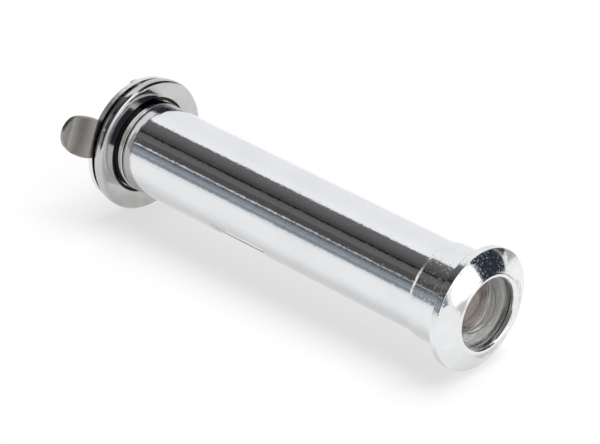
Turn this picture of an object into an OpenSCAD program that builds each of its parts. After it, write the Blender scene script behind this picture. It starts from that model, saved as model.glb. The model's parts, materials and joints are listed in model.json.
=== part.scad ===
// Telescopic door viewer with a swinging privacy cover, as it sits in the thinnest door it takes.
// The viewer's axis is +Y. The outside lens looks towards -Y and the eyepiece towards +Y.
// The origin is on the axis, in the plane where the outer flange rests on the door.

/* [Outer tube] */
// Outside diameter of the tube that passes through the door
tube_d = 14; // [13.6:0.1:14.2]
// Thinnest door: distance between the outer flange's seat and the rosette's seat
door_min = 65.6; // [60:0.2:90]
// Inside diameter of the threaded rear part of the tube, at the thread's roots
thread_bore_d = 12.2; // [12:0.1:12.3]
// Rounding radius of the tube's rear end
tube_end_r = 1.0; // [0.6:0.1:1.1]
// Length of the shallow flat milled in the tube's underside
flat_length = 11.1; // [8:0.1:14]
// Width of the milled flat
flat_width = 4.8; // [3:0.1:5]
// Depth of the milled flat below the tube's surface
flat_depth = 0.55; // [0.4:0.05:0.6]
// Distance from the outer flange's seat to the flat's middle
flat_y = 41; // [30:1:50]
// Direction of the flat around the axis, in degrees from +X towards +Z
flat_angle = 225; // [180:5:360]

/* [Objective head] */
// Diameter of the flange that covers the hole on the door's outside
flange_d = 18.6; // [18:0.1:22]
// Thickness of the flange's straight rim
flange_rim = 1.1; // [0.8:0.1:2]
// Height of the whole head in front of its seat
head_height = 2.8; // [2.6:0.1:3.2]
// Clear diameter in front of the outside lens
aperture_d = 10.8; // [10.4:0.1:11]
// Thickness of the rounded lip around the aperture
lip_t = 0.9; // [0.7:0.1:1]
// Diameter of the collar behind the flange
collar_d = 14.8; // [14.6:0.1:15.2]
// Length of the collar behind the flange's seat
collar_length = 6; // [4:0.5:7]

/* [Rosette] */
// Diameter of the rosette that covers the hole on the door's inside
rosette_d = 20.8; // [20.4:0.2:24]
// Thickness of the rosette, which is also the diameter of its rounded rim
rosette_t = 1.8; // [1.8:0.1:2]
// Diameter where the rosette's dished face ends
rosette_face_id = 15.2; // [15:0.1:15.6]

/* [Privacy cover] */
// Diameter of the cover's disc
cover_d = 20; // [19.8:0.1:20.4]
// Thickness of the cover's sheet
cover_t = 0.8; // [0.6:0.1:1]
// Distance from the viewer's axis up to the cover's pivot
pivot_height = 8.85; // [8.8:0.01:8.9]
// Width of the finger tab
tab_width = 6.2; // [4:0.2:7]
// Distance from the axis to the tab's tip
tab_reach = 14; // [13:0.2:16]
// Distance that the tab is bent back from the disc
tab_set = 2.4; // [2:0.1:3]
// Direction of the tab around the axis, in degrees from +X towards +Z
tab_angle = 158; // [155:1:180]
// How far the cover swings open, in degrees
cover_swing = 110; // [90:5:120]

/* [Eyepiece] */
// Outside diameter of the eyepiece barrel at the thread's roots
spigot_d = 10.6; // [10.4:0.1:10.8]
// Length of the eyepiece barrel inside the tube
spigot_length = 42.6; // [38:0.2:48]
// Diameter of the shoulder that carries the rosette
shoulder_d = 14; // [14:0.1:14.1]
// Diameter of the flange that holds the rosette on
eye_flange_d = 15.8; // [15.6:0.1:15.8]
// Clear diameter in front of the eye
eye_aperture_d = 7.2; // [6:0.2:7.6]
// Width of the coin slot across the eyepiece
coin_slot_w = 1.6; // [1.2:0.1:2]
// Depth of the coin slot
coin_slot_depth = 0.5; // [0.3:0.1:0.6]

/* [Hidden] */

$fn = 96;
arc_steps = 8;
over = 0.5;

tube_r = tube_d / 2;
thread_bore_r = thread_bore_d / 2;
tube_front = 0.8;
tube_rear = door_min - 1;

flange_r = flange_d / 2;
aperture_r = aperture_d / 2;
lip_r = lip_t / 2;
collar_r = collar_d / 2;
collar_edge = 0.2;
edge = 0.1;
optics_r = 6.2;
optics_end = 9.6;
lens_shoulder = -2.0;

// The outside lens, behind the gasket that seals it to the lip
front_lens_rim = -1.75;
front_lens_rear = 0.6;
front_lens_r = 6.1;
front_lens_dome = 0.5;
front_lens_hollow_r = 4.7;
front_lens_hollow = 1.7;

// The moulded cell that holds the two small lenses, from front to rear
cell_r = 6.15;
cell_bore_r = 5.3;
cell_lens_r = 5.25;
cell_lip_r = 3.2;
cell_lip = 6.6;
cell_rear = 8.0;
clip_front = 0.9;
clip_r = 4.7;
second_lens_front = 1.6;
second_lens_rear = 3.4;
second_lens_hollow_r = 4.1;
second_lens_hollow = 1.2;
third_lens_front = 4.8;
third_lens_hollow_r = 3.3;
third_lens_hollow = 0.9;
retaining_ring_r = 3.7;

// The eyepiece barrel
spigot_r = spigot_d / 2;
shoulder_r = shoulder_d / 2;
shoulder_front = tube_rear + 0.1;
shoulder_bevel = 0.35;
spigot_front = shoulder_front - spigot_length;
eye_bore_r = 4.6;
light_bore_r = 4.0;
eye_lens_r = 4.55;
field_stop_front = spigot_front + 0.4;
field_lens_front = spigot_front + 1.6;
field_lens_seat = spigot_front + 3.6;
field_lens_dome = 0.8;
field_stop_r = 3.2;
eye_seat = door_min - 2.3;
washer_t = 0.3;
eye_lens_front = eye_seat + washer_t;
eye_lens_rear = door_min - 0.6;
eye_lens_dome_r = 3.9;
eye_lens_dome = 1.2;
retainer_t = 1.4;
spanner_notch_w = 1.0;
spanner_notch_depth = 0.5;

// The rosette, its recess and the flange in it
rosette_r = rosette_d / 2;
rim_r = rosette_t / 2;
rosette_rear = door_min + rosette_t;
seat_width = 0.4;
dish_depth = 0.35;
dish_lip = 0.2;
rosette_hole_r = shoulder_r + 0.1;
recess_floor = door_min + 1;
recess_r = eye_flange_d / 2 + 0.15;
eye_flange_r = eye_flange_d / 2;
eye_flange_front = recess_floor + 0.05;
eye_flange_rear = rosette_rear - 0.05;

// The cover's pivot: pin, washer, disc and head, with a stop pip that runs in a slot
pin_r = 0.5;
pin_hole_floor = door_min + 0.5;
pin_head_r = 1.15;
pin_head_t = 0.5;
washer_r = 1.0;
cover_washer_t = 0.4;
axial_play = 0.05;
cover_front = rosette_rear + cover_washer_t + axial_play;
cover_rear = cover_front + cover_t;
cover_r = cover_d / 2;
cover_hole_r = pin_r + 0.06;
pip_r = 0.4;
pip_distance = 2.6;
pip_angle = 90 + 2 * asin(pip_distance / 2 / pivot_height);
slot_start = (90 + pip_angle) / 2 + 90;
slot_half_w = pip_r + 0.06;
slot_margin = 10;

// The tab's bend, in the plane of its length and the viewer's axis
tab_root = 8.6;
tab_neck = 5.8;
tab_bend_start = 9.6;
tab_bend_run = 1.5;
tab_curl = 0.5;

// Points on an arc, for outlines given as [radius, y]
function arc(centre, radius, from, to, steps = arc_steps) = [
    for (i = [0:steps])
        let (a = from + (to - from) * i / steps)
        [centre.x + radius * cos(a), centre.y + radius * sin(a)]
];

// Points of a lens surface from its rim inwards to the axis.
// depth is the height of the axis point above the rim, towards +Y.
function lens_curve(rim_r, rim_y, depth, steps = 12) =
    let (
        size = abs(depth),
        ball_r = (rim_r * rim_r + size * size) / (2 * size),
        side = depth < 0 ? -1 : 1,
        half = asin(rim_r / ball_r)
    )
    [
        for (i = [0:steps])
            let (a = half * (1 - i / steps))
            [ball_r * sin(a), rim_y + side * (ball_r * cos(a) - ball_r + size)]
    ];

// Things drawn along local +Z, laid along the viewer's +Y axis
module along_axis() {
    rotate([-90, 0, 0]) children();
}

// A solid of revolution about the viewer's axis, from points given as [radius, y]
module revolved(points) {
    along_axis() rotate_extrude() polygon(points);
}

module ring(outer, inner, from, to) {
    revolved([[inner, from], [outer, from], [outer, to], [inner, to]]);
}

// A rod parallel to the viewer's axis, through the point x, z
module rod(x, z, radius, from, to) {
    translate([x, from, z]) rotate([-90, 0, 0]) cylinder(r = radius, h = to - from);
}

// Turns what points along +X to the given direction around the viewer's axis
module facing(angle) {
    rotate([0, -angle, 0]) children();
}

// Two notches across a ring's rear face, for a pin spanner or a coin
module notches(width, from, to, reach) {
    translate([-reach, from, -width / 2]) cube([2 * reach, to - from, width]);
}

module outer_tube() {
    color("silver")
    difference() {
        revolved(concat(
            [[optics_r, tube_front], [tube_r, tube_front]],
            arc([tube_r - tube_end_r, tube_rear - tube_end_r], tube_end_r, 0, 90),
            [[thread_bore_r, tube_rear], [thread_bore_r, optics_end], [optics_r, optics_end]]
        ));
        facing(flat_angle)
            translate([tube_r - flat_depth, flat_y - flat_length / 2, -flat_width / 2])
            cube([flat_depth + over, flat_length, flat_width]);
    }
}

module objective_head() {
    lip_centre = [aperture_r + lip_r, lip_r - head_height];
    color("gainsboro")
    revolved(concat(
        [[aperture_r, lens_shoulder]],
        arc(lip_centre, lip_r, 180, 330),
        [
            [flange_r - edge, -flange_rim - edge / 2],
            [flange_r, -flange_rim + edge],
            [flange_r, -edge],
            [flange_r - edge, 0],
            [collar_r, 0],
            [collar_r, collar_length - collar_edge],
            [collar_r - collar_edge, collar_length],
            [tube_r, collar_length],
            [tube_r, tube_front],
            [optics_r, tube_front],
            [optics_r, lens_shoulder]
        ]
    ));
}

module front_lens_gasket() {
    color("dimgray") ring(cell_r, aperture_r + 0.05, lens_shoulder, front_lens_rim);
}

module front_lens() {
    color("lightcyan", 0.4)
    revolved(concat(
        [[front_lens_r, front_lens_rim]],
        lens_curve(aperture_r - 0.1, front_lens_rim, -front_lens_dome),
        reversed(lens_curve(front_lens_hollow_r, front_lens_rear, -front_lens_hollow)),
        [[front_lens_r, front_lens_rear]]
    ));
}

function reversed(points) = [for (i = [len(points) - 1:-1:0]) points[i]];

// A lens with a flat front and a hollow rear
module hollow_lens(radius, front, rear, hollow_r, hollow) {
    revolved(concat(
        [[0, front], [radius, front], [radius, rear]],
        lens_curve(hollow_r, rear, -hollow)
    ));
}

module lens_cell() {
    color("gray")
    revolved([
        [cell_bore_r, front_lens_rear],
        [cell_r, front_lens_rear],
        [cell_r, cell_rear],
        [cell_lip_r, cell_rear],
        [cell_lip_r, cell_lip],
        [cell_bore_r, cell_lip]
    ]);
}

module cell_clip_ring() {
    color("darkgray") ring(cell_lens_r, clip_r, clip_front, second_lens_front);
}

module second_lens() {
    color("lightcyan", 0.4)
    hollow_lens(cell_lens_r, second_lens_front, second_lens_rear,
        second_lens_hollow_r, second_lens_hollow);
}

module middle_spacer() {
    color("darkgray") ring(cell_lens_r, second_lens_hollow_r, second_lens_rear, third_lens_front);
}

module third_lens() {
    color("lightcyan", 0.4)
    hollow_lens(cell_lens_r, third_lens_front, cell_lip, third_lens_hollow_r, third_lens_hollow);
}

module objective_retaining_ring() {
    color("dimgray")
    difference() {
        ring(cell_r, retaining_ring_r, cell_rear, optics_end);
        notches(spanner_notch_w, optics_end - spanner_notch_depth, optics_end + over, tube_r);
    }
}

module eyepiece_barrel() {
    color("silver")
    difference() {
        revolved([
            [eye_bore_r, spigot_front],
            [spigot_r, spigot_front],
            [spigot_r, shoulder_front],
            [shoulder_r - shoulder_bevel, shoulder_front],
            [shoulder_r, shoulder_front + shoulder_bevel],
            [shoulder_r, eye_flange_front],
            [eye_flange_r, eye_flange_front],
            [eye_flange_r, eye_flange_rear - edge],
            [eye_flange_r - edge, eye_flange_rear],
            [eye_bore_r, eye_flange_rear],
            [eye_bore_r, eye_seat],
            [light_bore_r, eye_seat],
            [light_bore_r, field_lens_seat],
            [eye_bore_r, field_lens_seat]
        ]);
        notches(coin_slot_w, eye_flange_rear - coin_slot_depth, eye_flange_rear + over, rosette_r);
    }
}

module field_stop() {
    color("dimgray") ring(eye_lens_r, field_stop_r, field_stop_front, field_lens_front);
}

module field_lens() {
    color("lightcyan", 0.4)
    revolved(concat(
        [[0, field_lens_front], [eye_lens_r, field_lens_front], [eye_lens_r, field_lens_seat]],
        lens_curve(eye_lens_dome_r, field_lens_seat, field_lens_dome)
    ));
}

module eyepiece_lens_washer() {
    color("dimgray") ring(eye_lens_r, light_bore_r, eye_seat, eye_lens_front);
}

module eyepiece_lens() {
    color("lightcyan", 0.4)
    revolved(concat(
        [[0, eye_lens_rear], [eye_lens_r, eye_lens_rear], [eye_lens_r, eye_lens_front]],
        lens_curve(eye_lens_dome_r, eye_lens_front, -eye_lens_dome)
    ));
}

module eyepiece_retainer() {
    retainer_rear = eye_lens_rear + retainer_t;
    color("dimgray")
    difference() {
        ring(eye_lens_r, eye_aperture_d / 2, eye_lens_rear, retainer_rear);
        notches(spanner_notch_w, retainer_rear - spanner_notch_depth, retainer_rear + over, tube_r);
    }
}

module rosette() {
    face_r = rosette_face_id / 2;
    color("lightgray")
    difference() {
        union() {
            revolved(concat(
                [[rosette_r - rim_r - seat_width, door_min]],
                arc([rosette_r - rim_r, door_min + rim_r], rim_r, -90, 90, 2 * arc_steps),
                [
                    [recess_r, rosette_rear],
                    [recess_r, recess_floor],
                    [rosette_hole_r, recess_floor],
                    [rosette_hole_r, door_min + dish_depth + dish_lip],
                    [face_r, door_min + dish_depth + dish_lip],
                    [face_r, door_min + dish_depth]
                ]
            ));
            facing(pip_angle) rod(pivot_height, 0, pip_r, recess_floor, cover_rear);
        }
        rod(0, pivot_height, pin_r, pin_hole_floor, rosette_rear + over);
    }
}

module cover_washer() {
    color("gray")
    difference() {
        rod(0, pivot_height, washer_r, rosette_rear, rosette_rear + cover_washer_t);
        rod(0, pivot_height, pin_r, rosette_rear - over, cover_rear);
    }
}

module cover_pivot_pin() {
    color("gainsboro")
    union() {
        rod(0, pivot_height, pin_r, pin_hole_floor, cover_rear + axial_play + pin_head_t / 2);
        rod(0, pivot_height, pin_head_r, cover_rear + axial_play, cover_rear + axial_play + pin_head_t);
    }
}

// The tab seen from its side: along the disc, back over the bend, then outwards
function tab_side() =
    let (far = (cover_front + cover_rear) / 2 + tab_set)
    [
        [tab_root, cover_front],
        [tab_bend_start, cover_front],
        [tab_bend_start + tab_bend_run, far - cover_t / 2],
        [tab_reach + over, far + tab_curl - cover_t / 2],
        [tab_reach + over, far + tab_curl + cover_t / 2],
        [tab_bend_start + tab_bend_run - cover_t / 2, far + cover_t / 2],
        [tab_bend_start - cover_t / 2, cover_rear],
        [tab_root, cover_rear]
    ];

// The tab seen along the viewer's axis: a neck that widens into a round end
function tab_plan() =
    let (tip_r = tab_width / 2)
    concat(
        [[tab_root, -tab_neck / 2], [tab_bend_start, -tab_neck / 2]],
        arc([tab_reach - tip_r, 0], tip_r, -90, 90, 2 * arc_steps),
        [[tab_bend_start, tab_neck / 2], [tab_root, tab_neck / 2]]
    );

module tab() {
    intersection() {
        translate([0, 0, -tab_width]) linear_extrude(2 * tab_width) polygon(tab_side());
        along_axis() linear_extrude(cover_rear + 2 * tab_set) polygon(tab_plan());
    }
}

// The slot that the rosette's stop pip runs in, as a ring sector about the pivot
module stop_slot() {
    translate([0, cover_front - over, pivot_height])
        rotate([0, -slot_start + slot_margin, 0])
        rotate([-90, 0, 0])
        rotate([0, 0, -cover_swing - 2 * slot_margin])
        rotate_extrude(angle = cover_swing + 2 * slot_margin)
        translate([pip_distance - slot_half_w, 0]) square([2 * slot_half_w, cover_t + 2 * over]);
}

module privacy_cover() {
    color("gray")
    difference() {
        union() {
            rod(0, 0, cover_r, cover_front, cover_rear);
            facing(tab_angle) tab();
        }
        rod(0, pivot_height, cover_hole_r, cover_front - over, cover_rear + over);
        stop_slot();
    }
}

outer_tube();
objective_head();
front_lens_gasket();
front_lens();
lens_cell();
cell_clip_ring();
second_lens();
middle_spacer();
third_lens();
objective_retaining_ring();
eyepiece_barrel();
field_stop();
field_lens();
eyepiece_lens_washer();
eyepiece_lens();
eyepiece_retainer();
rosette();
cover_washer();
privacy_cover();
cover_pivot_pin();
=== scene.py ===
"""Looks for the door viewer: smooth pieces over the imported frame, and the studio around them."""
import json
import math

import bmesh
import bpy
from mathutils import Matrix, Vector


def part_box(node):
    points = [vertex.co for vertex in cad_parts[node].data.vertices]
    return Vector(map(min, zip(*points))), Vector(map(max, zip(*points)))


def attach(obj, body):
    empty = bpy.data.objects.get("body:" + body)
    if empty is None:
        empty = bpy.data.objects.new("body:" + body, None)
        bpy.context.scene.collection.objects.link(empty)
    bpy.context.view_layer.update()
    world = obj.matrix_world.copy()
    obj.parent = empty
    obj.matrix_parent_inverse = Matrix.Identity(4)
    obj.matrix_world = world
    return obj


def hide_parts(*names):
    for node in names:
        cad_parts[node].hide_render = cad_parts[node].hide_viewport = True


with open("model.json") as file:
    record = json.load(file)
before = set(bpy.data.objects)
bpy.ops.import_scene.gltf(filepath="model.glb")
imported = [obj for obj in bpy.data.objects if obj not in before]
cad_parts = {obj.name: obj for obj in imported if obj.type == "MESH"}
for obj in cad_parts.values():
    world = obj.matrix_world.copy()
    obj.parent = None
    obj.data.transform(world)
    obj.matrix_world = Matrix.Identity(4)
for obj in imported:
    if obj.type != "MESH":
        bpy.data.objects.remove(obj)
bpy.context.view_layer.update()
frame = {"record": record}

MM = 0.001

# ---------------------------------------------------------------- sizes, in mm in the CAD frame


def node_box(node):
    """A CAD node's lowest and highest corners, in mm."""
    low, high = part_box(node)
    return low / MM, high / MM


def node_radius(node):
    return node_box(node)[1].x


def node_ends(node):
    """Where a CAD node starts and ends along the viewer's axis."""
    low, high = node_box(node)
    return low.y, high.y


TUBE_R = node_radius("outer_tube")
TUBE_FRONT, TUBE_REAR = node_ends("outer_tube")
TUBE_BORE_R = 6.1
OPTICS_BORE_R = 6.2
OPTICS_END = 9.6
TUBE_END_ROUNDING = 1.0
TUBE_END_DEPTH = 0.3
FLAT_ANGLE = math.radians(225)
FLAT_MIDDLE = 41.0
FLAT_LENGTH = 11.1
FLAT_FRONT = FLAT_MIDDLE - FLAT_LENGTH / 2
FLAT_REAR = FLAT_MIDDLE + FLAT_LENGTH / 2
FLAT_WIDTH = 4.8
FLAT_HALF_ANGLE = math.asin(FLAT_WIDTH / 2 / TUBE_R)
FLAT_FLOOR_R = 6.45

FLANGE_R = node_radius("objective_head")
HEAD_FRONT, HEAD_REAR = node_ends("objective_head")
APERTURE_R = 5.4
LIP_R = 0.45
FLANGE_RIM_FRONT = -1.15
COLLAR_R = 7.4
LENS_SHOULDER = -2.0

LENS_R = 6.1
LENS_RIM_FRONT = -1.75
# The lens's rear ring lies on the cell's front face, so how the two render hangs on this value's last digit
LENS_REAR = 0.6
LENS_FACE_R = 5.3
LENS_BULGE = 0.5
LENS_HOLLOW_R = 4.7
LENS_HOLLOW = 1.7
# The rear ring is ground from here out to the lens's edge
LENS_GROUND_FROM = 5.3
CELL_BORE_R = 5.3

ROSETTE_R = node_radius("rosette")
ROSETTE_FRONT = node_ends("rosette")[0]
ROSETTE_REAR = ROSETTE_FRONT + 1.8
SEAT_INNER_R = 9.72
POCKET_R = 8.05
POCKET_FLOOR = ROSETTE_FRONT + 1.0
DISH_INNER_R = 7.6
DISH_FLOOR = ROSETTE_FRONT + 0.35
ROSETTE_HOLE_R = 7.1
ROSETTE_HOLE_FRONT = ROSETTE_FRONT + 0.55
PIVOT_HEIGHT = 8.85
PIN_R = 0.5
PIP_R = 0.4
PIP_DISTANCE = 2.6
# The pip is as far from the viewer's axis as the pivot. This is half the angle between them
PIP_HALF_TURN = math.asin(PIP_DISTANCE / 2 / PIVOT_HEIGHT)

COVER_R = 10.0
COVER_FRONT = ROSETTE_REAR + 0.45
COVER_T = 0.8
COVER_REAR = COVER_FRONT + COVER_T
COVER_EDGE = 0.14
JOINTS = {joint["name"]: joint for joint in frame["record"]["behaviour"]["joints"]}
COVER_SWING = math.radians(JOINTS["cover_swing"]["range_deg"][1])
TAB_ANGLE = math.radians(158)
TAB_NECK = 5.8
TAB_WIDTH = 6.2
TAB_REACH = 14.0
TAB_SET = 2.4
TAB_CURL = 0.45
TAB_WIDENS_FROM = 9.2
TAB_BEND_START = 9.5
TAB_BEND_RUN = 3.6
# The sheet leans at its end, so its middle surface stops a little short of the tip
TAB_TIP = TAB_REACH - 0.14

BARREL_FRONT, BARREL_REAR = node_ends("eyepiece_barrel")
BARREL_BORE_R = 4.6
EYE_GLASS_R = BARREL_BORE_R - 0.05
EYE_GLASS_CURVE_R = 3.9
FIELD_LENS_REAR = BARREL_FRONT + 3.6
SPIGOT_R = 5.3
THREAD_CREST_R = 5.85
THREAD_PITCH = 1.0
THREAD_START = BARREL_FRONT + 0.6
THREAD_END = 61.0
THREAD_RUN_OUT = 1.2
# How much of each half pitch the thread's flat root and its flank take up
THREAD_ROOT = 0.12
THREAD_FLANK = 0.72

# ---------------------------------------------------------------- mesh helpers

ROUND_STEPS = 6
HOLD = 0.02


def rounded_corner(before, corner, after, radius):
    """Points that round one corner of an outline, with a holding point just outside each end of the arc."""
    p0, p1, p2 = Vector(before), Vector(corner), Vector(after)
    into, out = (p0 - p1).normalized(), (p2 - p1).normalized()
    angle = math.acos(max(-1.0, min(1.0, into.dot(out))))
    reach = radius / math.tan(angle / 2)
    start, end = p1 + into * reach, p1 + out * reach
    centre = p1 + (into + out).normalized() * (radius / math.sin(angle / 2))
    points = [start + into * HOLD]
    first, last = start - centre, end - centre
    turn = math.atan2(first.x * last.y - first.y * last.x, first.dot(last))
    for i in range(ROUND_STEPS + 1):
        a = turn * i / ROUND_STEPS
        spoke = Vector((
            first.x * math.cos(a) - first.y * math.sin(a),
            first.x * math.sin(a) + first.y * math.cos(a),
        ))
        points.append(centre + spoke)
    points.append(end + out * HOLD)
    return points


def outline(corners):
    """A closed profile from (radius, y, rounding) in mm. A rounding of 0 keeps the point as it is."""
    points = []
    for i, (r, y, rounding) in enumerate(corners):
        if rounding <= 0:
            points.append(Vector((r, y)))
            continue
        before = corners[i - 1][:2]
        after = corners[(i + 1) % len(corners)][:2]
        points += rounded_corner(before, (r, y), after, rounding)
    return points


def arc_points(centre, radius, start, end, steps):
    """Points on an arc as (radius, y, 0), angles in degrees from +radius towards +y."""
    angles = [math.radians(start + (end - start) * i / steps) for i in range(steps + 1)]
    return [(centre[0] + radius * math.cos(a), centre[1] + radius * math.sin(a), 0) for a in angles]


def cap_points(rim_r, rim_y, depth, steps=24):
    """A spherical lens surface from its rim to the axis, as (radius, y, 0)."""
    ball = (rim_r ** 2 + depth ** 2) / (2 * abs(depth))
    half = math.asin(min(1.0, rim_r / ball))
    side = math.copysign(1.0, depth)
    points = []
    for i in range(steps + 1):
        a = half * (1 - i / steps)
        points.append((ball * math.sin(a), rim_y + side * (ball * math.cos(a) - ball + abs(depth)), 0))
    return points


def new_object(name, mesh):
    obj = bpy.data.objects.new(name, mesh)
    bpy.context.scene.collection.objects.link(obj)
    return obj


def finish_surface(mesh, sharp_degrees=40):
    """Smooth shading, with edges steeper than the given angle kept sharp."""
    for polygon in mesh.polygons:
        polygon.use_smooth = True
    mesh.set_sharp_from_angle(angle=math.radians(sharp_degrees))


def mesh_from_bmesh(name, bm, sharp_degrees=40):
    bmesh.ops.recalc_face_normals(bm, faces=bm.faces)
    mesh = bpy.data.meshes.new(name)
    bm.to_mesh(mesh)
    bm.free()
    finish_surface(mesh, sharp_degrees)
    return new_object(name, mesh)


def polar(r, angle, y):
    """A point around the viewer's axis, from mm to metres. The angle runs from +X towards +Z."""
    return Vector((r * math.cos(angle), y, r * math.sin(angle))) * MM


def even_angles(count):
    return [2 * math.pi * i / count for i in range(count)]


def ring_at(bm, r, angles, y):
    """Points round the viewer's axis, all at one radius."""
    return [bm.verts.new(polar(r, a, y)) for a in angles]


def bridge(bm, ring, following):
    """Faces between two rings of points."""
    for i in range(len(ring)):
        j = (i + 1) % len(ring)
        bm.faces.new((ring[i], ring[j], following[j], following[i]))


def skin(bm, rings):
    """Faces from each ring of points to the next, and from the last ring back to the first."""
    for ring, following in zip(rings, rings[1:] + rings[:1]):
        bridge(bm, ring, following)


def turned(name, corners, segments=192):
    """A solid of revolution about the viewer's axis, from a closed profile."""
    bm = bmesh.new()
    rings = []
    for r, y in outline(corners):
        on_axis = r < 1e-6
        rings.append(ring_at(bm, r, [0] if on_axis else even_angles(segments), y))
    for ring, following in zip(rings, rings[1:] + rings[:1]):
        if len(ring) == 1 and len(following) == 1:
            continue
        for i in range(segments):
            j = (i + 1) % segments
            corners_of_face = [ring[i % len(ring)], ring[j % len(ring)]]
            corners_of_face += [following[j % len(following)], following[i % len(following)]]
            bm.faces.new(list(dict.fromkeys(corners_of_face)))
    return mesh_from_bmesh(name, bm)


def apply_modifiers(obj):
    """Puts the result of an object's modifiers into its mesh."""
    bpy.context.view_layer.update()
    evaluated = obj.evaluated_get(bpy.context.evaluated_depsgraph_get())
    mesh = bpy.data.meshes.new_from_object(evaluated)
    obj.modifiers.clear()
    obj.data = mesh
    return obj


def cut(obj, cutter):
    """Takes one closed shape out of another."""
    boolean = obj.modifiers.new("cut", "BOOLEAN")
    boolean.operation = "DIFFERENCE"
    boolean.solver = "EXACT"
    boolean.object = cutter
    apply_modifiers(obj)
    bpy.data.objects.remove(cutter)
    finish_surface(obj.data)
    return obj


def weight_normals(obj):
    """Lets large faces set the shading, so that flat faces reflect as flat."""
    weighted = obj.modifiers.new("weighted", "WEIGHTED_NORMAL")
    weighted.keep_sharp = True
    return apply_modifiers(obj)


def block(name, low, high):
    """A plain box cutter between two corners in mm."""
    bm = bmesh.new()
    bmesh.ops.create_cube(bm, size=1)
    size = Vector(high) - Vector(low)
    middle = (Vector(high) + Vector(low)) / 2
    for v in bm.verts:
        v.co = Vector((v.co.x * size.x, v.co.y * size.y, v.co.z * size.z)) + middle
        v.co *= MM
    return mesh_from_bmesh(name, bm)


def rod(name, x, z, radius, y_from, y_to, rounding=0.0, segments=48):
    """A pin parallel to the viewer's axis, with rounded ends."""
    corners = [(0, y_from, 0), (radius, y_from, rounding), (radius, y_to, rounding), (0, y_to, 0)]
    obj = turned(name, corners, segments)
    obj.data.transform(Matrix.Translation(Vector((x, 0, z)) * MM))
    return obj


def join(target, *others):
    """Joins closed shells into one piece."""
    bm = bmesh.new()
    for obj in (target, *others):
        bm.from_mesh(obj.data)
    for obj in others:
        bpy.data.objects.remove(obj)
    bm.to_mesh(target.data)
    bm.free()
    finish_surface(target.data)
    return target


# ---------------------------------------------------------------- material helpers

# Noise seldom goes past these two values, so ramps and ranges run between them
NOISE_LOW, NOISE_HIGH = 0.3, 0.7


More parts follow.
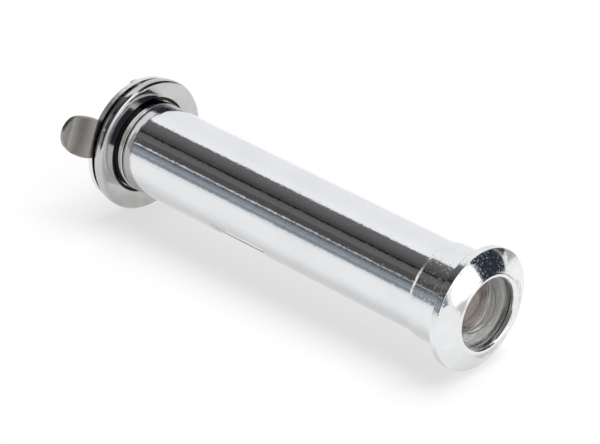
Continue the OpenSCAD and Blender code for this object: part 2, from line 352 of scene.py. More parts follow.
class Shader:
    """A node material with one Principled shader, and short ways to add what feeds it."""

    def __init__(self, name):
        self.material = bpy.data.materials.get(name) or bpy.data.materials.new(name)
        self.material.use_nodes = True
        self.nodes = self.material.node_tree.nodes
        self.links = self.material.node_tree.links
        self.nodes.clear()
        self.output = self.nodes.new("ShaderNodeOutputMaterial")
        self.bsdf = self.nodes.new("ShaderNodeBsdfPrincipled")
        self.links.new(self.bsdf.outputs[0], self.output.inputs["Surface"])
        self.coordinates = self.nodes.new("ShaderNodeTexCoord").outputs["Object"]

    def set(self, **sockets):
        """Gives the Principled shader's own sockets plain values. An underscore stands for a space."""
        for name, value in sockets.items():
            self.bsdf.inputs[name.replace("_", " ")].default_value = value

    def math(self, operation, a, b=0.0):
        """A math node whose inputs are numbers or other nodes' outputs."""
        node = self.nodes.new("ShaderNodeMath")
        node.operation = operation
        for socket, value in zip(node.inputs, (a, b)):
            if isinstance(value, bpy.types.NodeSocket):
                self.links.new(value, socket)
            else:
                socket.default_value = value
        return node.outputs[0]

    def turned_coordinates(self):
        """Coordinates in metres that change only along and across the viewer's axis, as turning marks do."""
        radius, y = self.radius_and_y()
        joined = self.nodes.new("ShaderNodeCombineXYZ")
        self.links.new(radius, joined.inputs["X"])
        self.links.new(y, joined.inputs["Y"])
        return joined.outputs[0]

    def noise(self, size, detail=2.0, coordinates=None, stretch=(1, 1, 1)):
        """Noise from 0 to 1 whose features are about size mm across, longer along stretched axes."""
        mapping = self.nodes.new("ShaderNodeMapping")
        self.links.new(coordinates or self.coordinates, mapping.inputs["Vector"])
        mapping.inputs["Scale"].default_value = [1 / (size * MM * s) for s in stretch]
        node = self.nodes.new("ShaderNodeTexNoise")
        node.inputs["Scale"].default_value = 1.0
        node.inputs["Detail"].default_value = detail
        self.links.new(mapping.outputs[0], node.inputs["Vector"])
        return node.outputs["Fac"]

    def ramp(self, value, *stops):
        """A ramp of (position, grey or colour) stops."""
        node = self.nodes.new("ShaderNodeValToRGB")
        self.links.new(value, node.inputs["Fac"])
        elements = node.color_ramp.elements
        while len(elements) < len(stops):
            elements.new(0.5)
        for element, (position, colour) in zip(elements, stops):
            element.position = position
            if not hasattr(colour, "__len__"):
                colour = (colour, colour, colour)
            element.color = (*colour, 1.0)
        return node.outputs["Color"]

    def shades(self, noise, dark, light):
        """Noise turned into greys or colours between a darker and a lighter one."""
        return self.ramp(noise, (NOISE_LOW, dark), (NOISE_HIGH, light))

    def spread(self, value, low, high):
        """Maps noise onto a range of numbers."""
        node = self.nodes.new("ShaderNodeMapRange")
        self.links.new(value, node.inputs["Value"])
        node.inputs["From Min"].default_value = NOISE_LOW
        node.inputs["From Max"].default_value = NOISE_HIGH
        node.inputs["To Min"].default_value = low
        node.inputs["To Max"].default_value = high
        return node.outputs["Result"]

    def step(self, value, low, high):
        """0 at low and beyond it, 1 at high and beyond it, smooth between them. Either may be the larger."""
        node = self.nodes.new("ShaderNodeMapRange")
        node.interpolation_type = "SMOOTHSTEP"
        self.links.new(value, node.inputs["Value"])
        node.inputs["From Min"].default_value = min(low, high)
        node.inputs["From Max"].default_value = max(low, high)
        node.inputs["To Min"].default_value = 0.0 if low < high else 1.0
        node.inputs["To Max"].default_value = 1.0 if low < high else 0.0
        return node.outputs["Result"]

    def all_of(self, *masks):
        """A mask that is 1 where every given mask is 1."""
        product = masks[0]
        for mask in masks[1:]:
            product = self.math("MULTIPLY", product, mask)
        return product

    def over(self, under, colour, mask):
        """A colour laid over another where the mask is 1."""
        node = self.nodes.new("ShaderNodeMix")
        node.data_type = "RGBA"
        self.links.new(mask, node.inputs["Factor"])
        self.links.new(under, node.inputs[6])
        node.inputs[7].default_value = (*colour, 1.0)
        return node.outputs[2]

    def radius_and_y(self):
        """Distance from the viewer's axis and along it, in metres."""
        split = self.nodes.new("ShaderNodeSeparateXYZ")
        self.links.new(self.coordinates, split.inputs[0])
        across = self.math("MULTIPLY", split.outputs["X"], split.outputs["X"])
        upward = self.math("MULTIPLY", split.outputs["Z"], split.outputs["Z"])
        return self.math("SQRT", self.math("ADD", across, upward)), split.outputs["Y"]

    def painted_groove_shade(self):
        """Painted shade: the step around the barrel, inside the rosette's dished face, painted near black as
        a shaded recess.
        """
        radius, y = self.radius_and_y()
        inside = self.step(radius, (DISH_INNER_R + 0.06) * MM, (DISH_INNER_R - 0.02) * MM)
        behind = self.step(y, (DISH_FLOOR + 0.03) * MM, (DISH_FLOOR + 0.07) * MM)
        return self.all_of(inside, behind)

    def painted_rim_highlight(self):
        """Painted highlight: the cover's rim, painted lighter than its faces and its tab, as light catching
        its edge.
        """
        radius, _ = self.radius_and_y()
        split = self.nodes.new("ShaderNodeSeparateXYZ")
        self.links.new(self.coordinates, split.inputs[0])
        along_x = self.math("MULTIPLY", split.outputs["X"], math.cos(TAB_ANGLE))
        along_z = self.math("MULTIPLY", split.outputs["Z"], math.sin(TAB_ANGLE))
        along_tab = self.math("ADD", along_x, along_z)
        off_tab = self.step(along_tab, (TAB_BEND_START + 0.06) * MM, TAB_BEND_START * MM)
        return self.all_of(self.step(radius, (COVER_R - 0.16) * MM, (COVER_R - 0.1) * MM), off_tab)

    def feed(self, socket, value):
        """Links another node's output to one of the Principled shader's sockets."""
        self.links.new(value, self.bsdf.inputs[socket])

    def bump(self, height, distance, normal=None):
        """Raises the surface by height times distance mm."""
        node = self.nodes.new("ShaderNodeBump")
        node.inputs["Strength"].default_value = 1.0
        node.inputs["Distance"].default_value = distance * MM
        self.links.new(height, node.inputs["Height"])
        if normal is not None:
            self.links.new(normal, node.inputs["Normal"])
        return node.outputs[0]


def chromed_tube():
    s = Shader("chromed_tube")
    s.set(Metallic=1.0)
    s.feed("Base Color", s.shades(s.noise(6, 3), (0.76, 0.765, 0.775), (0.80, 0.805, 0.815)))
    s.feed("Roughness", s.spread(s.noise(1.5, 4), 0.035, 0.09))
    orange_peel = s.bump(s.noise(0.9, 2, stretch=(1, 0.7, 1)), 0.008)
    pitting = s.bump(s.ramp(s.noise(0.34, 1), (0.74, 0.0), (0.8, 1.0)), 0.01, orange_peel)
    s.feed("Normal", s.bump(s.noise(0.36, 2), 0.0085, pitting))
    return s.material


def chromed_casting():
    s = Shader("chromed_casting")
    s.set(Metallic=1.0)
    s.feed("Base Color", s.shades(s.noise(2, 3), (0.76, 0.765, 0.77), (0.81, 0.815, 0.82)))
    s.feed("Roughness", s.spread(s.noise(0.8, 3), 0.05, 0.16))
    lumps = s.bump(s.noise(1.6, 1), 0.002)
    speckle = s.bump(s.ramp(s.noise(0.34, 2), (0.6, 0.0), (0.7, 1.0)), 0.011, lumps)
    s.feed("Normal", s.bump(s.noise(0.22, 1), 0.0012, speckle))
    return s.material


def nickelled_brass():
    s = Shader("nickelled_brass")
    s.set(Metallic=1.0)
    s.feed("Base Color", s.shades(s.noise(4, 3), (0.66, 0.655, 0.64), (0.72, 0.71, 0.69)))
    s.feed("Roughness", s.spread(s.noise(1.2, 4), 0.07, 0.15))
    marks = s.bump(s.noise(0.12, 2, s.turned_coordinates()), 0.0012)
    s.feed("Normal", s.bump(s.noise(0.8, 2), 0.003, marks))
    return s.material


def polished_steel():
    s = Shader("polished_steel")
    s.set(Metallic=1.0)
    steel = s.shades(s.noise(3, 3), (0.50, 0.495, 0.49), (0.59, 0.58, 0.57))
    # The step inside the rosette's dish is painted near black as shade
    s.feed("Base Color", s.over(steel, (0.02, 0.02, 0.022), s.painted_groove_shade()))
    s.feed("Roughness", s.spread(s.noise(0.9, 4), 0.06, 0.14))
    marks = s.bump(s.noise(0.1, 3, s.turned_coordinates()), 0.0004)
    s.feed("Normal", s.bump(s.noise(1.4, 1), 0.0015, marks))
    return s.material


def satin_steel():
    s = Shader("satin_steel")
    s.set(Metallic=1.0)
    sheet = s.shades(s.noise(3.5, 3), (0.28, 0.271, 0.26), (0.335, 0.318, 0.295))
    rim = s.painted_rim_highlight()
    # The rim is painted light as a highlight along the cover's edge
    s.feed("Base Color", s.over(sheet, (0.86, 0.84, 0.81), rim))
    s.feed("Roughness", s.math("ADD", s.spread(s.noise(0.7, 4), 0.24, 0.38), s.math("MULTIPLY", rim, 0.12)))
    brushing = s.bump(s.noise(0.12, 3, stretch=(14, 1, 1)), 0.004)
    s.feed("Normal", s.bump(s.noise(0.9, 1), 0.003, brushing))
    return s.material


def turned_aluminium():
    s = Shader("turned_aluminium")
    s.set(Metallic=0.7)
    s.feed("Base Color", s.shades(s.noise(1.5, 3), (0.84, 0.82, 0.79), (0.94, 0.92, 0.89)))
    s.feed("Roughness", s.spread(s.noise(0.5, 3), 0.14, 0.24))
    s.feed("Normal", s.bump(s.noise(0.09, 3, s.turned_coordinates()), 0.0018))
    return s.material


def moulded_plastic(name, dark, light, roughness):
    s = Shader(name)
    s.set(Metallic=0.0, IOR=1.49)
    s.feed("Base Color", s.shades(s.noise(0.8, 4), dark, light))
    s.feed("Roughness", s.spread(s.noise(0.4, 3), roughness - 0.08, roughness + 0.08))
    s.feed("Normal", s.bump(s.noise(0.15, 3), 0.004))
    return s.material


def optical_glass(name, tint, coating):
    """Clear coated glass that lets lamps through."""
    s = Shader(name)
    s.set(Metallic=0.0, IOR=1.5, Transmission_Weight=1.0, Base_Color=(*tint, 1.0))
    s.set(Coat_Weight=0.4, Coat_Roughness=0.02, Coat_Tint=(*coating, 1.0))
    s.feed("Roughness", s.spread(s.noise(1.6, 4), 0.0, 0.008))
    lamps_through = s.nodes.new("ShaderNodeMixShader")
    clear = s.nodes.new("ShaderNodeBsdfTransparent")
    path = s.nodes.new("ShaderNodeLightPath")
    s.links.new(path.outputs["Is Shadow Ray"], lamps_through.inputs["Fac"])
    s.links.new(s.bsdf.outputs[0], lamps_through.inputs[1])
    s.links.new(clear.outputs[0], lamps_through.inputs[2])
    s.links.new(lamps_through.outputs[0], s.output.inputs["Surface"])
    return s.material


MATERIALS = {
    "chromed_tube": chromed_tube(),
    "chromed_casting": chromed_casting(),
    "nickelled_brass": nickelled_brass(),
    "polished_steel": polished_steel(),
    "satin_steel": satin_steel(),
    "turned_aluminium": turned_aluminium(),
    "grey_plastic": moulded_plastic("grey_plastic", (0.7, 0.685, 0.66), (0.8, 0.785, 0.76), 0.26),
    "black_plastic": moulded_plastic("black_plastic", (0.018, 0.018, 0.018), (0.035, 0.034, 0.033), 0.5),
    "black_rubber": moulded_plastic("black_rubber", (0.012, 0.012, 0.012), (0.022, 0.022, 0.022), 0.65),
    "optical_glass": optical_glass("optical_glass", (0.97, 0.985, 0.98), (1.0, 1.0, 1.0)),
}
GROUND_GLASS = moulded_plastic("ground_glass", (0.64, 0.625, 0.6), (0.74, 0.725, 0.7), 0.5)
COATED_GLASS = optical_glass("coated_glass", (1.0, 0.95, 0.89), (1.0, 0.78, 0.6))
NODE_BODY = {node: body for body, nodes in frame["record"]["behaviour"]["bodies"].items() for node in nodes}
NODE_SLOT = {part["node"]: part["material_slot"] for part in frame["record"]["subparts"]}


def place(obj, node, material=None):
    """Lets a piece stand for a CAD node: its body, and the material of its slot unless another is given."""
    slot = NODE_SLOT[node]
    obj.data.materials.clear()
    obj.data.materials.append(material or MATERIALS[slot])
    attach(obj, NODE_BODY[node])
    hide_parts(node)
    return obj


# ---------------------------------------------------------------- the outer tube and its milled flat


def tube_surface_r(angle, y):
    """The tube's outer surface: round, or down on the milled flat's floor."""
    away = (angle - FLAT_ANGLE + math.pi) % (2 * math.pi) - math.pi
    on_floor = abs(away) <= FLAT_HALF_ANGLE + 1e-9 and FLAT_FRONT - 1e-9 <= y <= FLAT_REAR + 1e-9
    return FLAT_FLOOR_R / math.cos(away) if on_floor else TUBE_R


def tube_angles():
    """Even steps round the tube, with extra lines at the two long walls of the milled flat."""
    wall_turn, hold_turn = 0.0008, 0.006
    walls = [(-1, FLAT_ANGLE - FLAT_HALF_ANGLE), (1, FLAT_ANGLE + FLAT_HALF_ANGLE)]
    angles = [a for a in even_angles(240) if all(abs(a - wall) > 2 * hold_turn for _, wall in walls)]
    for outwards, wall in walls:
        for turn in (-hold_turn, 0, wall_turn, hold_turn):
            angles.append(wall + outwards * turn)
    return sorted(angles)


def tube_rows():
    """Where the rings of the tube's outside are, with extra ones at the two end walls of the milled flat."""
    wall, outer_hold, inner_hold = 0.012, 0.2, 0.1
    front_plain, rear_plain = 12.0, 55.0
    rows = [TUBE_FRONT + 0.1, front_plain]
    rows += [FLAT_FRONT - outer_hold, FLAT_FRONT - wall, FLAT_FRONT, FLAT_FRONT + inner_hold, FLAT_MIDDLE]
    rows += [FLAT_REAR - inner_hold, FLAT_REAR, FLAT_REAR + wall, FLAT_REAR + outer_hold]
    return rows + [rear_plain, TUBE_REAR - TUBE_END_ROUNDING - HOLD]


def outer_tube():
    """Rings along the outside with its milled flat, round the rear end and back through the stepped bore."""
    angles = tube_angles()
    end = [
        (TUBE_R - TUBE_END_DEPTH * (1 - math.cos(a)), TUBE_REAR - TUBE_END_ROUNDING * (1 - math.sin(a)))
        for a in (math.radians(5 * step) for step in range(18))
    ]
    inside = [(TUBE_BORE_R, TUBE_REAR - 0.05), (TUBE_BORE_R, OPTICS_END), (OPTICS_BORE_R, OPTICS_END)]
    inside += [(OPTICS_BORE_R, TUBE_FRONT), (TUBE_R - 0.1, TUBE_FRONT)]
    bm = bmesh.new()
    rings = [[bm.verts.new(polar(tube_surface_r(a, y), a, y)) for a in angles] for y in tube_rows()]
    rings += [ring_at(bm, r, angles, y) for r, y in end + inside]
    skin(bm, rings)
    return mesh_from_bmesh("tube_shell", bm)


# ---------------------------------------------------------------- turned and cast pieces of the outside half


def objective_head():
    lip = arc_points((APERTURE_R + LIP_R, HEAD_FRONT + LIP_R), LIP_R, 180, 334, 18)
    return turned("head_casting", [
        (APERTURE_R, LENS_SHOULDER, 0),
        *lip,
        (FLANGE_R, FLANGE_RIM_FRONT, 0.16),
        (FLANGE_R, 0, 0.12),
        (COLLAR_R, 0, 0.1),
        (COLLAR_R, HEAD_REAR - 0.5, 0.4),
        (COLLAR_R - 0.06, HEAD_REAR, 0.04),
        (TUBE_R, HEAD_REAR, 0),
        (TUBE_R, TUBE_FRONT, 0),
        (OPTICS_BORE_R, TUBE_FRONT, 0),
        (OPTICS_BORE_R, LENS_SHOULDER, 0),
    ], 256)


def ring_piece(name, node, inner, rounding):
    """A plain ring with broken edges, between a CAD node's ends and out to its radius."""
    start, end = node_ends(node)
    outer = node_radius(node)
    return turned(name, [
        (inner, start, rounding), (outer, start, rounding), (outer, end, rounding), (inner, end, rounding)])


def notched_ring(name, node, inner):
    """A ring with two notches for a pin spanner in its rear face."""
    obj = ring_piece(name, node, inner, 0.08)
    end = node_ends(node)[1]
    depth, half_width, past = 0.5, 0.5, 9
    notch = block("notch", (-past, end - depth, -half_width), (past, end + depth, half_width))
    return weight_normals(cut(obj, notch))


def front_lens():
    """The outside lens: a bulging face in a flat rim, and a deep hollow behind."""
    return turned("outside_lens", [
        (LENS_R, LENS_RIM_FRONT, 0.05),
        (LENS_FACE_R, LENS_RIM_FRONT, 0),
        *cap_points(LENS_FACE_R, LENS_RIM_FRONT, -LENS_BULGE)[1:],
        *reversed(cap_points(LENS_HOLLOW_R, LENS_REAR, -LENS_HOLLOW)),
        (LENS_R, LENS_REAR, 0.05),
    ])


def grind_edge(lens):
    """Gives the outside lens's edge and the outer part of the flat ring behind it a ground finish."""
    lens.data.materials.append(GROUND_GLASS)
    edge_r = LENS_R - 0.06
    ring_y = LENS_REAR - 0.01
    for face in lens.data.polygons:
        r = math.hypot(face.center.x, face.center.z) / MM
        on_rear_ring = r > LENS_GROUND_FROM and face.center.y / MM > ring_y
        face.material_index = int(r > edge_r or on_rear_ring)


def hollow_lens(name, node, hollow_r, hollow):
    """A small negative lens: flat in front, with a hollow of the given radius and depth behind."""
    front, rear = node_ends(node)
    radius = node_radius(node)
    return turned(name, [
        (0, front, 0), (radius, front, 0.08), (radius, rear, 0.05), *cap_points(hollow_r, rear, -hollow)])


def lens_cell():
    """The cup that holds the small lenses, with two fine turned grooves in its mouth."""
    front, rear = node_ends("lens_cell")
    outer = node_radius("lens_cell")
    exit_r, lip_front = 3.2, rear - 1.4
    groove_depth, groove_half = 0.1, 0.03
    grooves = []
    for y in (front + 0.24, front + 0.14):
        grooves += [(CELL_BORE_R, y + groove_half, 0), (CELL_BORE_R + groove_depth, y, 0)]
        grooves += [(CELL_BORE_R, y - groove_half, 0)]
    return turned("lens_cell_body", [
        (CELL_BORE_R + 0.06, front, 0.04), (outer, front, 0.08), (outer, rear, 0.1),
        (exit_r, rear, 0.1), (exit_r, lip_front, 0.1), (CELL_BORE_R, lip_front, 0.02), *grooves])


# ---------------------------------------------------------------- the eyepiece barrel with its screw thread


def thread_r(turns):
    """The thread's radius at a point, from how many pitches along it is: a rounded vee."""
    across = abs((turns % 1.0) - 0.5) * 2
    lift = min(1.0, max(0.0, (across - THREAD_ROOT) / THREAD_FLANK))
    return SPIGOT_R + (THREAD_CREST_R - SPIGOT_R) * lift


def barrel_thread():
    """The threaded part of the spigot as a closed helical shell around a plain core."""
    rows_per_pitch, around = 10, 72
    length = THREAD_END - THREAD_START
    rows = int(length / THREAD_PITCH * rows_per_pitch)
    bm = bmesh.new()
    rings = []
    for row in range(rows + 1):
        along = length * row / rows
        fade = min(1.0, along / THREAD_RUN_OUT, (length - along) / THREAD_RUN_OUT)
        ring = []
        for i, angle in enumerate(even_angles(around)):
            lift = thread_r(along / THREAD_PITCH - i / around) - SPIGOT_R
            ring.append(bm.verts.new(polar(SPIGOT_R + 0.01 + lift * fade, angle, THREAD_START + along)))
        rings.append(ring)
    core_r = SPIGOT_R - 0.3
    rings += [ring_at(bm, core_r, even_angles(around), y) for y in (THREAD_END, THREAD_START)]
    skin(bm, rings)
    return mesh_from_bmesh("barrel_thread", bm, sharp_degrees=75)


def eyepiece_barrel():
    """The spigot, the shoulder that shows in front of the rosette, and the flange with its coin slot."""
    shoulder_front = TUBE_REAR + 0.1
    flange_r, flange_front = 7.9, ROSETTE_FRONT + 1.05
    waist_r, eye_seat = 4.0, ROSETTE_FRONT - 2.3
    body = turned("eyepiece_barrel_body", [
        (BARREL_BORE_R, BARREL_FRONT, 0.06), (SPIGOT_R, BARREL_FRONT, 0.2), (SPIGOT_R, shoulder_front, 0),
        (TUBE_R, shoulder_front, 0.1), (TUBE_R, flange_front, 0),
        (flange_r, flange_front, 0.05), (flange_r, BARREL_REAR, 0.15), (BARREL_BORE_R, BARREL_REAR, 0.12),
        (BARREL_BORE_R, eye_seat, 0), (waist_r, eye_seat, 0.05),
        (waist_r, FIELD_LENS_REAR, 0.05), (BARREL_BORE_R, FIELD_LENS_REAR, 0),
    ], 256)
    slot_depth, slot_half_width, past = 0.5, 0.8, 12
    slot = block("coin_slot", (-past, BARREL_REAR - slot_depth, -slot_half_width),
                 (past, BARREL_REAR + slot_depth, slot_half_width))
    return join(weight_normals(cut(body, slot)), barrel_thread())


# ---------------------------------------------------------------- rosette, cover and pivot


def rosette():
    """The loose ring: dished inside its flat seat ring, with a pocket behind for the barrel's flange."""
    front_r, rear_r = 0.55, 0.9
    front_rim = arc_points((ROSETTE_R - front_r, ROSETTE_FRONT + front_r), front_r, -90, 0, 16)
    rear_rim = arc_points((ROSETTE_R - rear_r, ROSETTE_REAR - rear_r), rear_r, 0, 90, 16)
    plate = turned("rosette_plate", [
        (SEAT_INNER_R, ROSETTE_FRONT, 0.05),
        *front_rim,
        *rear_rim,
        (POCKET_R, ROSETTE_REAR, 0.06),
        (POCKET_R, POCKET_FLOOR, 0),
        (ROSETTE_HOLE_R, POCKET_FLOOR, 0.04),
        (ROSETTE_HOLE_R, ROSETTE_HOLE_FRONT, 0.04),
        (DISH_INNER_R, ROSETTE_HOLE_FRONT, 0),
        (DISH_INNER_R, DISH_FLOOR, 0.07),
    ], 256)
    angle = math.pi / 2 + 2 * PIP_HALF_TURN
    x, z = PIVOT_HEIGHT * math.cos(angle), PIVOT_HEIGHT * math.sin(angle)
    return join(plate, rod("pip", x, z, PIP_R, ROSETTE_REAR - 0.8, COVER_REAR, 0.1))


def tab_bend(distance):
    """How far back the tab's sheet lies at a distance from the axis: a smooth bend, then a slight curl."""
    bend = min(1.0, max(0.0, (distance - TAB_BEND_START) / TAB_BEND_RUN))
    settle = bend * bend * bend * (bend * (6 * bend - 15) + 10)
    curl = max(0.0, (distance - TAB_BEND_START) / (TAB_REACH - TAB_BEND_START))
    return TAB_SET * settle + TAB_CURL * curl ** 3


def tab_half_width(distance):
    """Half the tab's width: a neck that widens into a round end."""
    tip_r = TAB_WIDTH / 2
    centre = TAB_TIP - tip_r
    if distance >= centre:
        return math.sqrt(max(0.0, tip_r ** 2 - (distance - centre) ** 2))
    share = max(0.0, (distance - TAB_WIDENS_FROM) / (centre - TAB_WIDENS_FROM))
    return (TAB_NECK + (TAB_WIDTH - TAB_NECK) * share) / 2


def cover_sheet():
    """The middle surface of the cover: a disc whose edge runs on into the tab."""
    around, across, tab_rows = 240, 20, 40
    ring_radii = (2.0, 5.0, 8.0, 9.3, COVER_R)
    neck_half = math.asin(TAB_NECK / 2 / COVER_R)
    along_tab = Vector((math.cos(TAB_ANGLE), math.sin(TAB_ANGLE)))
    beside_tab = Vector((-along_tab.y, along_tab.x))
    bm = bmesh.new()

    def vertex(u, v):
        spot = along_tab * u + beside_tab * v
        on_tab = abs(v) < TAB_WIDTH / 2 and u > 0
        set_back = tab_bend(u) if on_tab else 0
        return bm.verts.new(Vector((spot.x, COVER_FRONT + COVER_T / 2 + set_back, spot.y)) * MM)

    def panels(row, following, count):
        for i in range(count):
            j = (i + 1) % len(row)
            bm.faces.new((row[i], following[i], following[j], row[j]))

    neck = [-neck_half + 2 * neck_half * i / across for i in range(across + 1)]
    free = [neck_half + (2 * math.pi - 2 * neck_half) * i / around for i in range(1, around)]
    angles = neck + free
    rings = [[vertex(r * math.cos(a), r * math.sin(a)) for a in angles] for r in ring_radii]
    centre = vertex(0, 0)
    for i in range(len(angles)):
        bm.faces.new((centre, rings[0][i], rings[0][(i + 1) % len(angles)]))
    for ring, following in zip(rings, rings[1:]):
        panels(ring, following, len(angles))
    row = rings[-1][:across + 1]
    for k in range(1, tab_rows + 1):
        u = COVER_R + (TAB_TIP - COVER_R) * math.sin(math.pi / 2 * k / tab_rows)
        half = tab_half_width(u)
        following = [vertex(u, half * (2 * i / across - 1)) for i in range(across + 1)]
        panels(row, following, across)
        row = following
    return mesh_from_bmesh("cover_plate", bm)


def privacy_cover():
    """The cover's sheet given its thickness, its pivot hole and stop slot, and softened edges."""
    cover = cover_sheet()
    thicken = cover.modifiers.new("thicken", "SOLIDIFY")
    thicken.thickness = COVER_T * MM
    thicken.offset = 0
    thicken.use_even_offset = True
    apply_modifiers(cover)
    cut(cover, rod("pivot_hole", 0, PIVOT_HEIGHT, PIN_R + 0.06, COVER_FRONT - 1, COVER_REAR + 1))
    cut(cover, stop_slot())
    soften = cover.modifiers.new("soften", "BEVEL")
    soften.width = COVER_EDGE * MM
    soften.segments = 3
    soften.limit_method = "ANGLE"
    soften.angle_limit = math.radians(50)
    apply_modifiers(cover)
    finish_surface(cover.data)
    return weight_normals(cover)


def stop_slot():
    """The arc slot about the pivot that the stop pip runs in."""
    half_width, overrun, steps = PIP_R + 0.06, math.radians(10), 40
    start = math.pi + PIP_HALF_TURN - overrun
    end = math.pi + PIP_HALF_TURN + COVER_SWING + overrun
    angles = [start + (end - start) * i / steps for i in range(steps + 1)]
    edge = [(PIP_DISTANCE - half_width, a) for a in angles]
    edge += [(PIP_DISTANCE + half_width, a) for a in reversed(angles)]
    bm = bmesh.new()
    layers = []
    for y in (COVER_FRONT - 1, COVER_REAR + 1):
        spots = [Vector((r * math.cos(a), y, PIVOT_HEIGHT + r * math.sin(a))) for r, a in edge]
        layers.append([bm.verts.new(spot * MM) for spot in spots])
    for layer in layers:
        bm.faces.new(layer)
    bridge(bm, *layers)
    return mesh_from_bmesh("stop_slot", bm)


def move_to_pivot(obj):
    """Moves a piece that was turned about the viewer's axis to the cover's pivot."""
    obj.data.transform(Matrix.Translation(Vector((0, 0, PIVOT_HEIGHT)) * MM))
    return obj


def pivot_pin():
    """A rivet with a rounded head behind the cover."""
    start = ROSETTE_FRONT + 0.5
    head_r, head_front = 1.15, COVER_REAR + 0.05
    head_rear = head_front + 0.5
    return move_to_pivot(turned("pivot_rivet", [
        (0, start, 0), (PIN_R, start, 0.08), (PIN_R, head_front, 0),
        (head_r, head_front, 0.08), (head_r, head_rear, 0.25), (0, head_rear, 0)], 64))


def pivot_washer():
    front, rear = node_ends("cover_washer")
    outer = node_radius("cover_washer")
    return move_to_pivot(turned("pivot_washer", [
        (PIN_R, front, 0), (outer, front, 0.08), (outer, rear, 0.08), (PIN_R, rear, 0)], 64))


def field_lens():
    """The lens at the front end of the barrel: flat in front, bulging behind."""
    front, bulge = FIELD_LENS_REAR - 2.0, 0.8
    return turned("field_lens_glass", [
        (0, front, 0), (EYE_GLASS_R, front, 0.1), (EYE_GLASS_R, FIELD_LENS_REAR, 0),
        *cap_points(EYE_GLASS_CURVE_R, FIELD_LENS_REAR, bulge)])


def eyepiece_lens():
    """The lens at the eye: bulging in front, flat behind."""
    front, rear, bulge = ROSETTE_FRONT - 2.0, ROSETTE_FRONT - 0.6, 1.2
    return turned("eye_lens_glass", [
        (0, rear, 0), (EYE_GLASS_R, rear, 0.1), (EYE_GLASS_R, front, 0),
        *cap_points(EYE_GLASS_CURVE_R, front, -bulge)])


place(outer_tube(), "outer_tube")
place(objective_head(), "objective_head")
gasket = ring_piece("lens_gasket", "front_lens_gasket", inner=APERTURE_R + 0.05, rounding=0.05)
place(gasket, "front_lens_gasket")
grind_edge(place(front_lens(), "front_lens"))
place(lens_cell(), "lens_cell")
place(ring_piece("clip_ring", "cell_clip_ring", inner=4.7, rounding=0.18), "cell_clip_ring")
place(hollow_lens("middle_lens", "second_lens", hollow_r=4.1, hollow=1.2), "second_lens", COATED_GLASS)
place(ring_piece("spacer_ring", "middle_spacer", inner=4.1, rounding=0.18), "middle_spacer")
place(hollow_lens("inner_lens", "third_lens", hollow_r=3.3, hollow=0.9), "third_lens", COATED_GLASS)
place(notched_ring("retaining_ring", "objective_retaining_ring", inner=3.7), "objective_retaining_ring")
place(eyepiece_barrel(), "eyepiece_barrel")
place(ring_piece("field_stop_ring", "field_stop", inner=3.2, rounding=0.08), "field_stop")
place(field_lens(), "field_lens")
place(ring_piece("eye_lens_washer", "eyepiece_lens_washer", inner=4.0, rounding=0.05), "eyepiece_lens_washer")
place(eyepiece_lens(), "eyepiece_lens")
place(notched_ring("eye_retainer", "eyepiece_retainer", inner=3.6), "eyepiece_retainer")
place(rosette(), "rosette")
place(pivot_washer(), "cover_washer")
place(privacy_cover(), "privacy_cover")
place(pivot_pin(), "cover_pivot_pin")

# ---------------------------------------------------------------- the studio, which isn't part of the viewer

# The floor touches the flange's rim at one end and the rosette's rim at the other
FLANGE_TOUCH = -0.5
ROSETTE_TOUCH = (ROSETTE_FRONT + ROSETTE_REAR) / 2
FLOOR_SLOPE = (ROSETTE_R - FLANGE_R) / (ROSETTE_TOUCH - FLANGE_TOUCH)
FLOOR_GAP = 0.02
FLOOR_REACH = 6000.0
# The floor gives some light of its own, as an overexposed white sweep does, so shadows on it stay pale
FLOOR_GLOW = 0.62
FLOOR_GREY = 0.3
CARD_LIFT = 0.3
CARD_GREY = (0.45, 0.45, 0.45)
ROOM_SHADE = (0.16, 0.19, 0.26)
DARK_ROOM = (0.028, 0.034, 0.05)
LAMP = (0.8, 0.87, 0.94)
FRONT_WALL = (0.66, 0.645, 0.63)
WINDOW = (1.5, 1.52, 1.55)
BACK_ROOM = (0.07, 0.082, 0.11)
BACK_WALL = (1.0, 0.99, 0.97)
PLAIN = (0.95, 0.95, 0.96)


def emitter(name, colour):
    """A surface that shines evenly in one colour."""
    material = bpy.data.materials.new(name)
    material.use_nodes = True
    nodes, links = material.node_tree.nodes, material.node_tree.links
    nodes.clear()
    output = nodes.new("ShaderNodeOutputMaterial")
    emission = nodes.new("ShaderNodeEmission")
    emission.inputs["Color"].default_value = (*colour, 1.0)
    emission.inputs["Strength"].default_value = 1.0
    links.new(emission.outputs[0], output.inputs["Surface"])
    return material


def floor_height(y):
    """The floor slopes a little along the viewer, down towards the rosette."""
    return -FLANGE_R - (y - FLANGE_TOUCH) * FLOOR_SLOPE - FLOOR_GAP


def quad(name, corners, material):
    """A flat card from four corners in mm."""
    mesh = bpy.data.meshes.new(name)
    mesh.from_pydata([Vector(c) * MM for c in corners], [], [(0, 1, 2, 3)])
    obj = new_object(name, mesh)
    mesh.materials.append(material)
    return obj


def floor():
    shader = Shader("studio_floor")
    shader.set(Roughness=0.85, Specular_IOR_Level=0.1)
    shader.set(Emission_Color=(1.0, 1.0, 1.0, 1.0), Emission_Strength=FLOOR_GLOW)
    shader.feed("Base Color", shader.shades(shader.noise(40, 2), FLOOR_GREY, FLOOR_GREY + 0.01))
    far = FLOOR_REACH
    corners = [(-far, -far), (far, -far), (far, far), (-far, far)]
    return quad("floor", [(x, y, floor_height(y)) for x, y in corners], shader.material)


def floor_card(name, distances, headings, colour):
    """A card on the floor that only mirrors show, between two distances and two headings from the origin."""
    near, far = distances
    left, right = [math.radians(h) for h in headings]
    spots = [(near, left), (far, left), (far, right), (near, right)]
    corners = [(d * math.cos(h), d * math.sin(h)) for d, h in spots]
    card = quad(name, [(x, y, floor_height(y) + CARD_LIFT) for x, y in corners], emitter(name, colour))
    card.visible_camera = False
    card.visible_diffuse = False
    card.visible_shadow = False
    card.visible_transmission = False


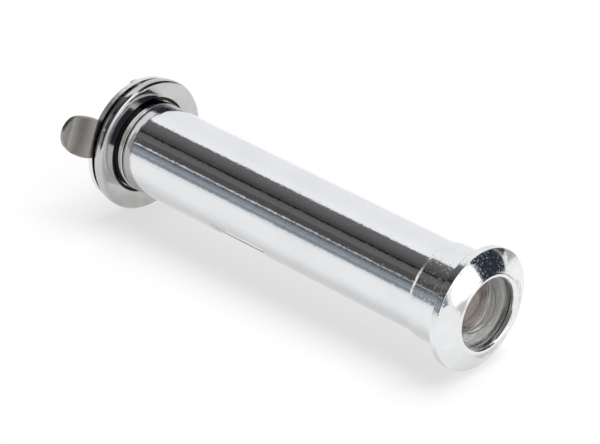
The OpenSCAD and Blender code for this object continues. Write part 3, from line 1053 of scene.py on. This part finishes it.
# What the metal mirrors, by the angle around the viewer's axis in degrees from +X over the top to -X
SKY = [
    (0, 0.97), (55, 0.99), (76, 1.05), (82.5, 1.02), (84.5, 0.16), (92, 0.15), (104, 0.115), (114, 0.07),
    (117.5, 0.06), (118.5, 0.012), (121.5, 0.012), (122.5, 0.12), (135, 0.15), (138, 0.09), (150, 0.085),
    (155, 0.12), (160, 0.2), (163, 0.34), (165, 0.28), (170, 0.42), (173, 0.24), (178, 0.36), (180, 0.45),
]


class WorldNodes(Shader):
    """The same short ways to add nodes, for the world's tree."""

    def __init__(self, world):
        world.use_nodes = True
        self.nodes = world.node_tree.nodes
        self.links = world.node_tree.links
        self.nodes.clear()
        self.coordinates = self.nodes.new("ShaderNodeTexCoord").outputs["Generated"]


def mirrored_room(w):
    """The colour in each direction: the sky's bands, and over them a lamp, rooms, walls and a window."""
    split = w.nodes.new("ShaderNodeSeparateXYZ")
    w.links.new(w.coordinates, split.inputs[0])
    x, y, z = split.outputs
    half_turns = w.math("DIVIDE", w.math("ARCTAN2", z, x), math.pi)
    around = w.math("MULTIPLY", half_turns, 180)
    heading = w.math("DIVIDE", w.math("ARCTAN2", y, x), math.radians(1))
    # Each layer lies over those before it, where all its limits hold: from none of it to all of it
    layers = [
        (LAMP, (around, 150.6, 151.6), (around, 154.2, 153.0), (y, 0.5, 0.64)),
        (DARK_ROOM, (y, 0.4, 0.1), (around, 80, 90)),
        (FRONT_WALL, (y, -0.45, -0.6)),
        (DARK_ROOM, (z, 0.92, 0.75), (heading, -66, -62), (heading, -4, -16)),
        (WINDOW, (z, 0.85, 0.7), (heading, -62, -65), (heading, -112, -104)),
        (BACK_ROOM, (y, 0.76, 0.8)),
        (BACK_WALL, (y, 0.69, 0.71), (y, 0.79, 0.76), (z, 0.7, 0.5)),
    ]
    room = w.ramp(half_turns, *[(angle / 180, grey_tint(angle, grey)) for angle, grey in SKY])
    for colour, *limits in layers:
        room = w.over(room, colour, w.all_of(*[w.step(*limit) for limit in limits]))
    return room


def studio_world():
    """The room for mirrors and for light, and a plain pale grey for the camera."""
    world = bpy.data.worlds.new("studio")
    bpy.context.scene.world = world
    w = WorldNodes(world)
    background = w.nodes.new("ShaderNodeBackground")
    w.links.new(mirrored_room(w), background.inputs["Color"])
    plain = w.nodes.new("ShaderNodeBackground")
    plain.inputs["Color"].default_value = (*PLAIN, 1.0)
    choose = w.nodes.new("ShaderNodeMixShader")
    path = w.nodes.new("ShaderNodeLightPath")
    w.links.new(path.outputs["Is Camera Ray"], choose.inputs["Fac"])
    w.links.new(background.outputs[0], choose.inputs[1])
    w.links.new(plain.outputs[0], choose.inputs[2])
    output = w.nodes.new("ShaderNodeOutputWorld")
    w.links.new(choose.outputs[0], output.inputs["Surface"])


def grey_tint(angle, grey):
    """Neutral where it is bright, brownish in the dark middle and bluish near the horizon."""
    if angle < 100:
        return (grey * 0.99, grey, grey * 1.02)
    if angle < 152:
        return (grey * 1.03, grey, grey * 0.98)
    return (grey * 0.9, grey * 1.02, grey * 1.12)


def soft_light(name, position, target, size, power):
    """A square lamp that mirrors and the camera don't show, aimed at a point. Its power is in watts."""
    data = bpy.data.lights.new(name, "AREA")
    data.size = size * MM
    data.energy = power
    light = new_object(name, data)
    light.location = Vector(position) * MM
    light.rotation_euler = (Vector(target) - Vector(position)).to_track_quat("-Z", "Y").to_euler()
    light.visible_glossy = False
    light.visible_camera = False


def camera():
    """A view from the outside lens's end, above and to the left."""
    data = bpy.data.cameras.new("camera")
    data.sensor_width = 36.0
    data.lens = 192.0
    data.clip_start = 0.02
    data.clip_end = 50.0
    obj = new_object("camera", data)
    place_at = Vector((-286.8, -246.7, 236.65)) * MM
    forward = Vector((0.6154, 0.6022, -0.5086)).normalized()
    right = Vector((0.7002, -0.7139, 0.0019)).normalized()
    up = right.cross(forward).normalized()
    turn = Matrix((right, up, -forward)).transposed().to_4x4()
    obj.matrix_world = Matrix.Translation(place_at) @ turn
    bpy.context.scene.camera = obj


floor()
floor_card("front_left_shade", (62, 150), (-100, -83), ROOM_SHADE)
floor_card("front_right_dark", (150, 900), (-68, -24), DARK_ROOM)
floor_card("front_right_grey", (34, 150), (-34, -12), CARD_GREY)
studio_world()
soft_light("overhead", position=(150, -60, 520), target=(0, 30, -10), size=420, power=3.4)
camera()
bpy.context.scene.view_settings.view_transform = "Standard"
